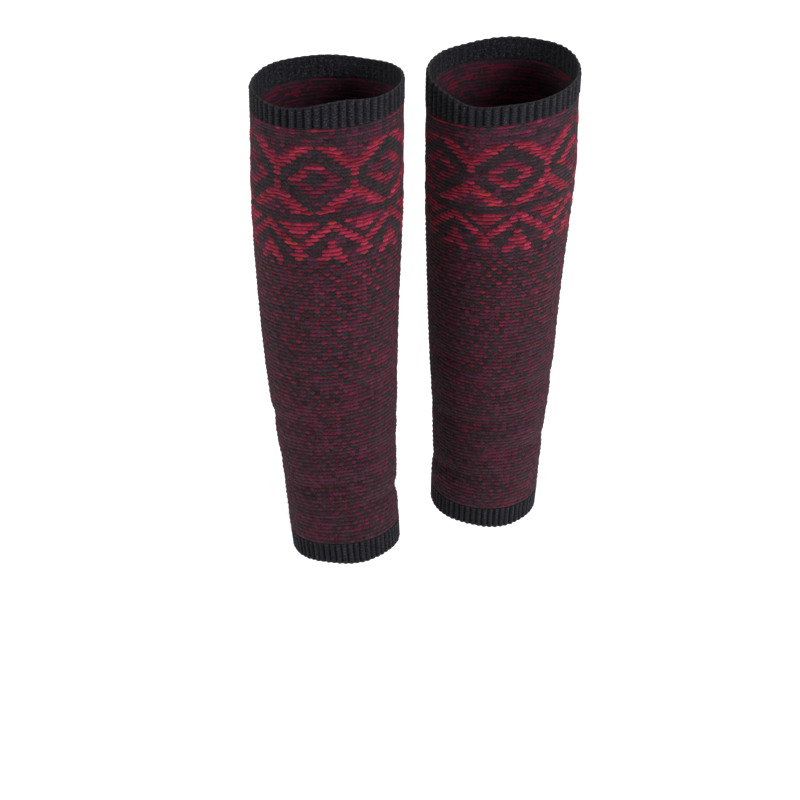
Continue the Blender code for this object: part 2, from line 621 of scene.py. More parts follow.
    def speckles(self) -> np.ndarray:
        """Charts the speckled ground.

        Dots stand two and three wales apart by turns. Each course's dots are one wale further
        towards +X than those above, or, on every second course, two wales further towards -X.

        Returns:
            A mask of the dots.
        """
        course, wale = self.places()
        row = course - self.speckle_course
        slid = wale + row // 2 - row % 2 - self.speckle_wale
        dots, wales = self.speckle_dots
        return (dots * slid % wales < dots) & (row >= 0)

    def streaks(self, layer: Noise, fine: int = 1) -> np.ndarray:
        """Makes smooth noise that runs along each course, as variegated yarn does.

        White noise is averaged over some wales of its own course and, less, over the courses
        beside it, and is then stretched to run evenly from 0 to 1.

        Args:
            layer: Which noise it is.
            fine: Values across and down each stitch.

        Returns:
            Values from 0 to 1 for each stitch.
        """
        noise = np.random.default_rng((self.seed, layer)).random((COURSES * fine, WALES * fine))
        smooth = sum(np.roll(noise, shift, axis=1) for shift in range(STREAK_WALES[layer]))
        beside = np.roll(smooth, 1, axis=0) + np.roll(smooth, -1, axis=0)
        smooth = smooth + self.beside_share * beside
        order = np.argsort(np.argsort(smooth, axis=None)).reshape(smooth.shape)
        return order / (order.size - 1)

    def stitches(self) -> Charted:
        """Charts every stitch.

        Returns:
            The yarn, the lying share, the lean and the marl of each stitch.
        """
        course, wale = self.places()
        from_speckle = course - self.speckle_course
        streak = self.streaks(Noise.PLUM)
        arm, small, triangle, arm_lean = self.diamonds()
        stroke, wedge, stroke_lean = self.zigzags()
        speckle = self.speckles()
        starts = (
            0,
            self.top_rows,
            self.top_rows + self.diamond_rows,
            self.zigzag_course,
            self.speckle_course - self.zigzag_last_rows,
            self.speckle_course,
        )
        ground = np.array(self.plum_shares)[np.searchsorted(starts, course, side="right") - 1]
        plum_share = np.where(triangle, self.triangle_plum, ground)
        yarn = np.where(streak < plum_share, Yarn.PLUM, Yarn.CHARCOAL)
        threads = (course < self.top_rows) & (self.streaks(Noise.THREAD) > self.thread_level)
        birdseye = ((course + wale) % 2 == 0) & triangle & (streak > self.birdseye_level)
        yarn[birdseye | threads] = Yarn.WINE
        broken = self.streaks(Noise.FIRST_COURSE)
        first = (course == 0) & (broken > self.first_wine_level)
        yarn[first] = np.where(broken > self.first_red_level, Yarn.RED, Yarn.WINE)[first]
        red = arm | stroke | wedge
        yarn[red] = Yarn.RED
        mixed = small | wedge
        red_share = np.where(wedge, self.wedge_red, self.small_red)
        yarn[mixed] = np.where(self.streaks(Noise.MIXED) < red_share, Yarn.RED, Yarn.WINE)[mixed]
        fade = np.clip(from_speckle / self.hem_courses, 0.0, 1.0)
        dulled = self.hem_dulling * fade + self.course_dulling * (from_speckle % 2)
        vivid = self.streaks(Noise.SPECKLE) - dulled
        livelier = [vivid > self.speckle_red_level, vivid > self.speckle_wine_level]
        yarn[speckle] = np.select(livelier, [Yarn.RED, Yarn.WINE], Yarn.PLUM)[speckle]
        lying = np.where(red | small, 1.0, 0.0)
        lying[first | threads | birdseye] = self.short_lying
        lying[speckle] = self.dot_lying
        marl = np.array([YARN_MARL[member] for member in Yarn])[yarn]
        marl[self.speckle_course :] += self.speckle_marl
        random = np.random.default_rng((self.seed, Noise.UNEVEN))
        uneven = random.normal(0.0, self.unevenness, yarn.shape)
        return Charted(yarn, lying, arm_lean + stroke_lean + uneven, marl)

    def colours(self, charted: Charted, wool: "WoolColours", steps: int) -> np.ndarray:
        """Colours every face of every stitch.

        Each yarn drifts slowly between its two colours along the course. A bar tapers at both
        ends: a short one shows the ground at its corners, and the middle of a long one reaches
        into the stitches beside it.

        Args:
            charted: What the chart says of every stitch.
            wool: The colours of the yarns.
            steps: Faces across and down a stitch.

        Returns:
            Linear colours, for each row and column of faces, with a last axis of three.
        """
        course, _ = self.places()
        yarn = charted.yarn
        first = np.array([getattr(wool, member.name.lower()) for member in Yarn])
        second = np.array([getattr(wool, f"{member.name.lower()}_second") for member in Yarn])
        change = self.streaks(Noise.DRIFT)[..., None]
        base, ground = (
            first[which] * (1 - change) + second[which] * change for which in (yarn, Yarn.CHARCOAL)
        )
        speckled = course >= self.speckle_course
        fleck = (self.streaks(Noise.FLECK) > self.fleck_level) & (yarn == Yarn.RED) & ~speckled
        base[fleck] = np.array(wool.fleck)
        down = np.clip((course - self.speckle_course) / self.dim_courses, 0.0, 1.0)
        gain = np.where(yarn == Yarn.RED, self.speckle_red_gain, self.speckle_wine_gain)
        gain = gain * (1 - self.hem_dimming * down)
        base = base * np.where(speckled & (yarn >= Yarn.WINE), gain, 1.0)[..., None]
        random = np.random.default_rng((self.seed, Noise.STITCH))
        base = base * scattered(random, self.stitch_scatter, yarn.shape)[..., None]
        face, behind = self.finer(base, steps), self.finer(ground, steps)
        bar = charted.lying > 0.5
        row = np.arange(COURSES * steps)[:, None] % steps
        column = np.arange(WALES * steps)[None, :] % steps
        outer_row = (row == 0) | (row == steps - 1)
        for shift, end in ((1, 0), (-1, steps - 1)):
            ends = bar & ~np.roll(bar, shift, axis=1)
            short = self.finer(ends & (charted.lying < 1), steps) & outer_row & (column == end)
            face[short] = behind[short]
            beside = self.finer(np.roll(ends & (charted.lying == 1), -shift, axis=1), steps)
            reach = beside & ~outer_row & (column == steps - 1 - end)
            face[reach] = self.finer(np.roll(base, -shift, axis=1), steps)[reach]
        return face * scattered(random, self.face_scatter, face.shape[:2])[..., None]

    @staticmethod
    def finer(values: np.ndarray, steps: int) -> np.ndarray:
        """Repeats each stitch's value over its faces."""
        return np.repeat(np.repeat(values, steps, axis=0), steps, axis=1)

    def back_colours(self, wool: "WoolColours", fine: int) -> np.ndarray:
        """Colours the inside of the knit, where the spare yarns run as floats along the courses.

        Args:
            wool: The colours of the yarns.
            fine: Faces across and down a stitch.

        Returns:
            Linear colours, for each row and column of faces, with a last axis of three.
        """
        spare = self.streaks(Noise.BACK, fine)[..., None]
        charcoal, plum, wine = (np.array(colour) for colour in (wool.charcoal, wool.plum, wool.wine))
        low, high = self.back_levels
        return np.select([spare < low, spare > high], [wine * self.back_wine_gain, plum], charcoal)


@dataclass(frozen=True)
class WoolColours:
    """The colours of the yarns, linear, each with the second colour that it drifts to."""

    charcoal: Colour = (0.0260, 0.0158, 0.0218)
    charcoal_second: Colour = (0.0150, 0.0185, 0.0202)
    plum: Colour = (0.0575, 0.0157, 0.0313)
    plum_second: Colour = (0.0365, 0.0183, 0.0330)
    wine: Colour = (0.165, 0.0122, 0.0382)
    wine_second: Colour = (0.104, 0.0105, 0.0296)
    red: Colour = (0.338, 0.0226, 0.0586)
    red_second: Colour = (0.212, 0.0122, 0.0296)
    fleck: Colour = (0.365, 0.0262, 0.0323)
    cuff: Colour = (0.0150, 0.0138, 0.0185)
    cuff_fleck: Colour = (0.0680, 0.0730, 0.0960)


class MeshMaker:
    """Puts arrays into Blender meshes and objects."""

    @staticmethod
    def tube_quads(rows: int, columns: int, first: int = 0, closed: bool = False) -> np.ndarray:
        """Numbers the quads of a grid that runs round a tube.

        Args:
            rows: Rings of points, listed so that they run down the outside.
            columns: Points in each ring.
            first: The number of the grid's first point.
            closed: Whether the last ring joins the first one.

        Returns:
            An array of quads that face outwards.
        """
        row = np.arange(rows if closed else rows - 1)[:, None]
        column = np.arange(columns)[None, :]
        beside = (column + 1) % columns
        below = (row + 1) % rows
        corners = (row * columns + column, below * columns + column)
        corners += (below * columns + beside, row * columns + beside)
        return first + np.stack(corners, axis=-1).reshape(-1, 4)

    @staticmethod
    def build(
        name: str,
        points: np.ndarray,
        faces: list[np.ndarray],
        uv: np.ndarray,
        colour: np.ndarray,
        loft: np.ndarray,
        marl: np.ndarray,
        flat_faces: np.ndarray,
    ) -> bpy.types.Object:
        """Makes one object from arrays.

        Args:
            name: The object's name.
            points: Points in metres.
            faces: Arrays of faces, each array with one count of corners.
            uv: The knit's own coordinates at each face corner.
            colour: The yarn's linear colour for each face.
            loft: How high each point stands in its stitch, from 0 to 1; the finish paints shade where it
                is low.
            marl: How much of the other yarns shows through at each point, from 0 to 1.
            flat_faces: Which faces are shaded flat.

        Returns:
            The new object, linked to the scene.
        """
        loops = np.concatenate([block.ravel() for block in faces]).astype(np.int32)
        counts = np.concatenate([np.full(len(block), block.shape[1]) for block in faces])
        starts = np.concatenate(([0], np.cumsum(counts)[:-1])).astype(np.int32)
        mesh = bpy.data.meshes.new(name)
        mesh.vertices.add(len(points))
        mesh.vertices.foreach_set("co", points.astype(np.float32).ravel())
        mesh.loops.add(len(loops))
        mesh.loops.foreach_set("vertex_index", loops)
        mesh.polygons.add(len(counts))
        mesh.polygons.foreach_set("loop_start", starts)
        mesh.update(calc_edges=True)
        mesh.validate()
        layer = mesh.uv_layers.new(name=KNIT_UV)
        layer.data.foreach_set("uv", uv.astype(np.float32).ravel())
        corner_colour = np.repeat(colour, counts, axis=0)
        corner_colour = np.concatenate((corner_colour, np.ones((len(loops), 1))), axis=1)
        tint = mesh.color_attributes.new(YARN_LAYER, "FLOAT_COLOR", "CORNER")
        tint.data.foreach_set("color", corner_colour.astype(np.float32).ravel())
        for layer_name, values in ((SHADE_LOFT_LAYER, loft), (MARL_LAYER, marl)):
            layer = mesh.attributes.new(layer_name, "FLOAT", "POINT")
            layer.data.foreach_set("value", values.astype(np.float32))
        mesh.polygons.foreach_set("use_smooth", ~flat_faces)
        piece = bpy.data.objects.new(name, mesh)
        bpy.context.scene.collection.objects.link(piece)
        return piece


@dataclass(frozen=True)
class Stitch:
    """The form of one plain stitch and of one bar that lies on the surface, in mm or courses."""

    steps: int = 4
    depth: float = 1.05
    plain_relief: float = 0.60
    bar_proud: float = 0.22
    plain_slant: float = 0.30
    bar_slant: float = 0.06
    edge_height: float = 0.58
    middle_height: float = 0.80
    across_power: float = 0.8
    down_power: float = 1.3

    def across(self, u: np.ndarray) -> np.ndarray:
        """Gives the height across a plain stitch.

        There are two crests, at its quarters, each a power of a sine, with a deep groove between
        stitches and a shallower one in the middle.

        Args:
            u: The place across, in wales.

        Returns:
            Heights from 0 to 1.
        """
        crest = np.abs(np.sin(TURN * u)) ** self.across_power
        groove = np.where(np.cos(TURN * u) > 0, self.edge_height, self.middle_height)
        return groove + (1 - groove) * crest

    def slant(self, u: np.ndarray, lying: np.ndarray) -> np.ndarray:
        """Gives how many courses a point moves down into its stitch's V; a bar is nearly level."""
        depth = self.plain_slant + (self.bar_slant - self.plain_slant) * lying
        return depth * (0.5 - 2 * np.abs(u % 1.0 - 0.5))


@dataclass(frozen=True)
class WoolFinish:
    """The finish of a knitted piece: matt wool with painted shade between its stitches, fibres along the
    yarn.
    """

    name: str
    wales: float
    courses: float
    crease_shade: float = 0.68
    fibre_contrast: float = 1.15
    ply_height: float = 0.20
    roughness: float = 0.88
    sheen: float = 0.06
    sheen_roughness: float = 0.5
    specular: float = 0.12
    marl_colour: Colour = (0.140, 0.0122, 0.0366)

    def material(self) -> bpy.types.Material:
        """Makes the material.

        Returns:
            A Principled material whose colour and bump come from the wool group.
        """
        material = bpy.data.materials.new(self.name)
        material.use_nodes = True
        tree = material.node_tree
        shader = tree.nodes["Principled BSDF"]
        wool = tree.nodes.new("ShaderNodeGroup")
        wool.node_tree = wool_group()
        values = (
            (shader, "Sheen Weight", self.sheen),
            (shader, "Sheen Roughness", self.sheen_roughness),
            (shader, "Roughness", self.roughness),
            (shader, "Specular IOR Level", self.specular),
            (wool, "Wales", self.wales),
            (wool, "Courses", self.courses),
            (wool, "Crease Shade", self.crease_shade),
            (wool, "Fibre Contrast", self.fibre_contrast),
            (wool, "Marl Colour", (*self.marl_colour, 1.0)),
        )
        for node, socket, value in values:
            node.inputs[socket].default_value = value
        bump = tree.nodes.new("ShaderNodeBump")
        bump.inputs["Strength"].default_value = 1.0
        bump.inputs["Distance"].default_value = self.ply_height * MM
        tree.links.new(wool.outputs["Colour"], shader.inputs["Base Color"])
        tree.links.new(wool.outputs["Height"], bump.inputs["Height"])
        tree.links.new(bump.outputs["Normal"], shader.inputs["Normal"])
        return material


class NodeBench:
    """Adds shader nodes to one tree and wires them."""

    def __init__(self, tree: bpy.types.NodeTree) -> None:
        """Keeps the tree."""
        self.tree = tree

    def add(self, kind: str, settings: dict | None = None, **inputs: object) -> bpy.types.Node:
        """Adds a node.

        Args:
            kind: The node's type.
            settings: Properties of the node.
            inputs: Values or sockets for its inputs, named with _ for a space, or i0, i1 by place.

        Returns:
            The node.
        """
        node = self.tree.nodes.new(kind)
        for name, value in (settings or {}).items():
            setattr(node, name, value)
        for name, value in inputs.items():
            by_place = name[0] == "i" and name[1:].isdigit()
            socket = node.inputs[int(name[1:])] if by_place else node.inputs[name.replace("_", " ")]
            if isinstance(value, bpy.types.NodeSocket):
                self.tree.links.new(value, socket)
            else:
                socket.default_value = value
        return node

    def maths(self, operation: str, *values: object) -> bpy.types.NodeSocket:
        """Adds a Math node.

        Args:
            operation: What it does.
            values: Its inputs, numbers or sockets.

        Returns:
            Its output.
        """
        inputs = {f"i{place}": value for place, value in enumerate(values)}
        return self.add("ShaderNodeMath", {"operation": operation}, **inputs).outputs[0]

    def times(self, *values: object) -> bpy.types.NodeSocket:
        """Multiplies two values."""
        return self.maths("MULTIPLY", *values)

    def less(self, *values: object) -> bpy.types.NodeSocket:
        """Takes the second value from the first."""
        return self.maths("SUBTRACT", *values)

    def clamped(self, value: bpy.types.NodeSocket) -> bpy.types.NodeSocket:
        """Holds a value between 0 and 1."""
        return self.add("ShaderNodeClamp", Value=value).outputs[0]

    def noise(self, x: object, y: object, z: float, roughness: float) -> bpy.types.NodeSocket:
        """Adds a noise whose grain is one unit long.

        Args:
            x: The place along the course.
            y: The place down the courses.
            z: Where the noise is cut.
            roughness: How rough it is.

        Returns:
            The noise's output, from 0 to 1.
        """
        place = self.add("ShaderNodeCombineXYZ", X=x, Y=y, Z=z).outputs["Vector"]
        inputs = {"Vector": place, "Scale": 1.0, "Detail": 3.0, "Roughness": roughness}
        return self.add("ShaderNodeTexNoise", **inputs).outputs["Fac"]


# Fibres, flecks and plies, as many to a wale and to a course
FIBRE_GRAIN = (3.0, 5.0)
FLECK_GRAIN = (1.9, 3.0)
PLY_TURNS = (5.0, 1.5)

# How rough their noises are, and where the flecks' noise is cut
FIBRE_ROUGHNESS = 0.65
FLECK_ROUGHNESS = 0.7
FLECK_CUT = 7.0

# The level that flecks must pass, how much marl lowers it, and how sharp they are
FLECK_LEVEL = 0.62
FLECK_GAIN = 0.20
FLECK_SHARPNESS = 10.0
MARL_SHARPNESS = 8.0

# How steeply the painted shade deepens down a stitch's sides, and how high a ply stands beside a fibre
SHADE_POWER = 1.3
PLY_SHARE = 0.25


def wool_group() -> bpy.types.NodeTree:
    """Makes the group that turns a mesh's yarn colour and loft into wool, once.

    Fibres are noise stretched along the yarn, the plies are a sine that winds round it, and painted
    shade darkens the colour where the loft is low, between the stitches. Flecks of the marl colour
    come where a second stretched noise passes a level that falls as the marl rises.

    Returns:
        The node group, with outputs Colour and Height.
    """
    name = "wool yarn"
    if name in bpy.data.node_groups:
        return bpy.data.node_groups[name]
    group = bpy.data.node_groups.new(name, "ShaderNodeTree")
    for socket in ("Wales", "Courses", "Crease Shade", "Fibre Contrast"):
        group.interface.new_socket(socket, in_out="INPUT", socket_type="NodeSocketFloat")
    group.interface.new_socket("Marl Colour", in_out="INPUT", socket_type="NodeSocketColor")
    group.interface.new_socket("Colour", in_out="OUTPUT", socket_type="NodeSocketColor")
    group.interface.new_socket("Height", in_out="OUTPUT", socket_type="NodeSocketFloat")
    bench = NodeBench(group)
    given = bench.add("NodeGroupInput").outputs
    tint = bench.add("ShaderNodeVertexColor", {"layer_name": YARN_LAYER}).outputs["Color"]
    loft = bench.add("ShaderNodeAttribute", {"attribute_name": SHADE_LOFT_LAYER}).outputs["Fac"]
    marl = bench.add("ShaderNodeAttribute", {"attribute_name": MARL_LAYER}).outputs["Fac"]
    knit = bench.add("ShaderNodeUVMap", {"uv_map": KNIT_UV}).outputs["UV"]
    place = bench.add("ShaderNodeSeparateXYZ", Vector=knit).outputs
    wale = bench.times(place["X"], given["Wales"])
    course = bench.times(place["Y"], given["Courses"])
    along_fibre, along_fleck, along_ply = (
        (bench.times(wale, across), bench.times(course, down))
        for across, down in (FIBRE_GRAIN, FLECK_GRAIN, PLY_TURNS)
    )
    fibre = bench.noise(*along_fibre, 0.0, FIBRE_ROUGHNESS)
    mixed = bench.noise(*along_fleck, FLECK_CUT, FLECK_ROUGHNESS)
    winding = bench.maths("ADD", *along_ply)
    ply = bench.maths("SINE", bench.times(winding, TURN))
    above = bench.less(mixed, bench.less(FLECK_LEVEL, bench.times(marl, FLECK_GAIN)))
    any_marl = bench.clamped(bench.times(marl, MARL_SHARPNESS))
    share = bench.times(bench.clamped(bench.times(above, FLECK_SHARPNESS)), any_marl)
    settings = {"data_type": "RGBA"}
    yarn = bench.add("ShaderNodeMix", settings, i0=share, i6=tint, i7=given["Marl Colour"])
    # Painted shade: the colour is darkened where the loft is low, between the stitches
    depth = bench.less(1.0, bench.maths("POWER", loft, SHADE_POWER))
    shade = bench.less(1.0, bench.times(depth, given["Crease Shade"]))
    spread = bench.times(bench.less(fibre, 0.5), given["Fibre Contrast"])
    grain = bench.maths("ADD", 1.0, bench.times(spread, 2.0))
    strength = bench.times(shade, grain)
    dark = bench.add("ShaderNodeCombineXYZ", X=strength, Y=strength, Z=strength).outputs["Vector"]
    product = bench.add("ShaderNodeVectorMath", {"operation": "MULTIPLY"}, i0=yarn.outputs[2], i1=dark)
    height = bench.maths("ADD", bench.times(ply, PLY_SHARE), fibre)
    bench.add("NodeGroupOutput", Colour=product.outputs["Vector"], Height=height)
    return group


@dataclass(frozen=True)
class JacquardBody:
    """The patterned tube between the cuffs, knitted to its chart."""

    form: LegForm
    chart: YarnChart
    wool: WoolColours
    stitch: Stitch
    phase: float
    split_course: int = 52
    inner_steps: int = 2
    purl_height: float = 0.35
    purl_waist: float = 0.35
    # The lofts that set the painted shade on the inside, low between the purl ridges and high on them
    back_shade_lofts: tuple[float, float] = (0.35, 0.80)
    back_marl: float = 0.2
    settling_courses: float = 8.0

    def at_points(self, per_stitch: np.ndarray) -> np.ndarray:
        """Spreads a value of each stitch to the grid's points.

        Points inside a stitch take its value, and points on its edges the mean of the stitches
        that meet there.

        Args:
            per_stitch: A value for each course and wale.

        Returns:
            A value for each row and column of the grid.
        """
        steps = self.stitch.steps
        row = np.arange(COURSES * steps + 1)
        column = np.arange(WALES * steps)
        above = np.clip(-(-row // steps) - 1, 0, COURSES - 1)
        below = np.clip(row // steps, 0, COURSES - 1)
        before = (-(-column // steps) - 1) % WALES
        after = (column // steps) % WALES
        rows = (per_stitch[above] + per_stitch[below]) / 2
        return (rows[:, before] + rows[:, after]) / 2

    def drop_of(self, course: np.ndarray, angle: np.ndarray) -> np.ndarray:
        """Places courses down the leg, with a slow wave so that no course is quite level.

        Args:
            course: Courses below the top seam.
            angle: Radians from the front towards +X.

        Returns:
            Millimetres below the rim.
        """
        top = CUFF_LENGTH + SEAM_GAP / 2
        length = BODY_LENGTH - SEAM_GAP
        ends = np.clip(np.minimum(course, COURSES - course) / self.settling_courses, 0.0, 1.0)
        level = top + length * course / COURSES + waved(COURSE_WAVES, course, angle) * ends
        return level + self.form.hang(level, angle)

    def outside(self, charted: Charted) -> tuple[np.ndarray, np.ndarray]:
        """Works out the outer grid.

        A row of points is a level of a course, moved down into the V of each stitch. The height
        is a power of a sine over each course, times the two crests across a plain stitch, and is
        lower for a plain stitch than for a bar.

        Args:
            charted: What the chart says of every stitch.

        Returns:
            Points in metres and lofts from 0 to 1, for each row and column of the grid; the lofts set
            the painted shade between stitches, which is softer on a plain stitch than on a bar.
        """
        steps = self.stitch.steps
        u = np.arange(WALES * steps)[None, :] / steps
        v = np.arange(COURSES * steps + 1)[:, None] / steps
        bar = self.at_points(charted.lying)
        lean = smoothed(smoothed(self.at_points(charted.lean), 2, axis=1), 1, axis=0)
        ends = np.clip(np.minimum(v, COURSES - v), 0.0, 1.0)
        course = v + (self.stitch.slant(u, bar) + lean) * ends
        angle = TURN * (u - 0.5 + self.phase) / WALES
        over = np.sin(math.pi * (v % 1.0)) ** self.stitch.down_power
        loft = over * (self.stitch.across(u) * (1 - bar) + bar)
        relief = self.stitch.plain_relief + (1 - self.stitch.plain_relief) * bar
        drop = self.drop_of(course, angle)
        offset = self.stitch.depth * relief * (loft - 0.5) + self.stitch.bar_proud * bar
        offset = offset + self.form.softness(drop, angle)
        # The second grid is the loft for the painted shade, softened on plain stitches
        return self.form.surface(drop, angle, offset), 1 - (1 - loft) * relief

    def inside(self) -> np.ndarray:
        """Works out the inner grid, the plain back of the knit, with a low ridge on each course.

        Returns:
            Points in metres for each row and column.
        """
        v = np.arange(COURSES * self.inner_steps + 1)[:, None] / self.inner_steps
        u = np.arange(WALES * self.inner_steps)[None, :] / self.inner_steps
        angle = TURN * (u - 0.5 + self.phase) / WALES
        drop = self.drop_of(v, angle)
        bumps = 1 - self.purl_waist + self.purl_waist * np.cos(TURN * u)
        ridge = self.purl_height * (0.5 - 0.5 * np.cos(TURN * v)) * bumps
        return self.form.surface(drop, angle, self.form.softness(drop, angle) - KNIT_WALL - ridge)

    def build(self, charted: Charted) -> list[bpy.types.Object]:
        """Knits the body as two pieces that meet in a crease between courses.

        Args:
            charted: What the chart says of every stitch.

        Returns:
            The upper and the lower piece.
        """
        outer = self.chart.colours(charted, self.wool, self.stitch.steps)
        inner = self.chart.back_colours(self.wool, self.inner_steps)
        points, loft = self.outside(charted)
        marl = self.at_points(charted.marl)
        behind = self.inside()
        spans = {"upper": (0, self.split_course), "lower": (self.split_course, COURSES)}
        pieces = []
        for name, (first, last) in spans.items():
            rows, back_rows = (
                slice(first * steps, last * steps + 1) for steps in (self.stitch.steps, self.inner_steps)
            )
            faces, back_faces = (slice(part.start, part.stop - 1) for part in (rows, back_rows))
            grids = (points[rows], loft[rows], marl[rows], behind[back_rows])
            tints = (outer[faces], inner[back_faces])
            pieces.append(self.stretch(f"{self.form.name}_body_{name}", first, grids, tints))
        return pieces

    def stretch(
        self,
        name: str,
        first: int,
        grids: tuple[np.ndarray, np.ndarray, np.ndarray, np.ndarray],
        tints: tuple[np.ndarray, np.ndarray],
    ) -> bpy.types.Object:
        """Makes the mesh of some of the courses: outside, rims and inside, one closed wall.

        Args:
            name: The piece's name.
            first: Its first course.
            grids: The outer points, their lofts and marls, and the inner points.
            tints: The colours of the outer and of the inner faces.

        Returns:
            The piece.
        """
        outer, loft, marl, behind = grids
        rows, columns = outer.shape[:2]
        back_rows, back_columns = behind.shape[:2]
        count = rows * columns
        outer_quads = MeshMaker.tube_quads(rows, columns)
        inner_quads = MeshMaker.tube_quads(back_rows, back_columns, count)[:, ::-1]
        span = columns // back_columns
        place = np.arange(back_columns)
        fan = (place[:, None] * span + np.arange(span + 1)[None, :]) % columns
        pair = count + np.stack(((place + 1) % back_columns, place), axis=-1)
        low_pair = pair + (back_rows - 1) * back_columns
        top_rim = np.concatenate((fan, pair), axis=1)
        bottom_rim = np.concatenate((fan + (rows - 1) * columns, low_pair), axis=1)[:, ::-1]
        faces = [outer_quads, inner_quads, top_rim, bottom_rim]
        outer_tint, inner_tint = (tint.reshape(-1, 3) for tint in tints)
        rim_tints = (inner_tint[:back_columns], inner_tint[-back_columns:])
        colour = np.concatenate((outer_tint, inner_tint, *rim_tints))
        flat = np.arange(len(colour)) >= len(outer_quads) + len(inner_quads)
        points = np.concatenate((outer.reshape(-1, 3), behind.reshape(-1, 3)))
        # The inside's painted shade: darker between its purl ridges
        back_shade_loft = np.full((back_rows, back_columns), self.back_shade_lofts[0])
        back_shade_loft[1 :: self.inner_steps] = self.back_shade_lofts[1]
        all_loft = np.concatenate((loft.ravel(), back_shade_loft.ravel()))
        all_marl = np.concatenate((marl.ravel(), np.full(back_shade_loft.size, self.back_marl)))
        uv = self.corner_uv(faces, first, columns, count)
        return MeshMaker.build(name, points, faces, uv, colour, all_loft, all_marl, flat)

    def corner_uv(self, faces: list[np.ndarray], first: int, columns: int, count: int) -> np.ndarray:
        """Gives each face corner its place in the knit, as shares of all wales and courses.

        Args:
            faces: The blocks of faces.
            first: The piece's first course.
            columns: Columns of the outer grid.
            count: Points of the outer grid.

        Returns:
            Two numbers for each face corner.
        """
        parts = []
        for block in faces:
            inner = block >= count
            number = np.where(inner, block - count, block)
            wide = np.where(inner, WALES * self.inner_steps, columns)
            step = np.where(inner, self.inner_steps, self.stitch.steps)
            wale = unwrapped((number % wide) / step, WALES)
            course = (number // wide) / step + first
            parts.append(np.stack((wale / WALES, course / COURSES), axis=-1).reshape(-1, 2))
        return np.concatenate(parts)


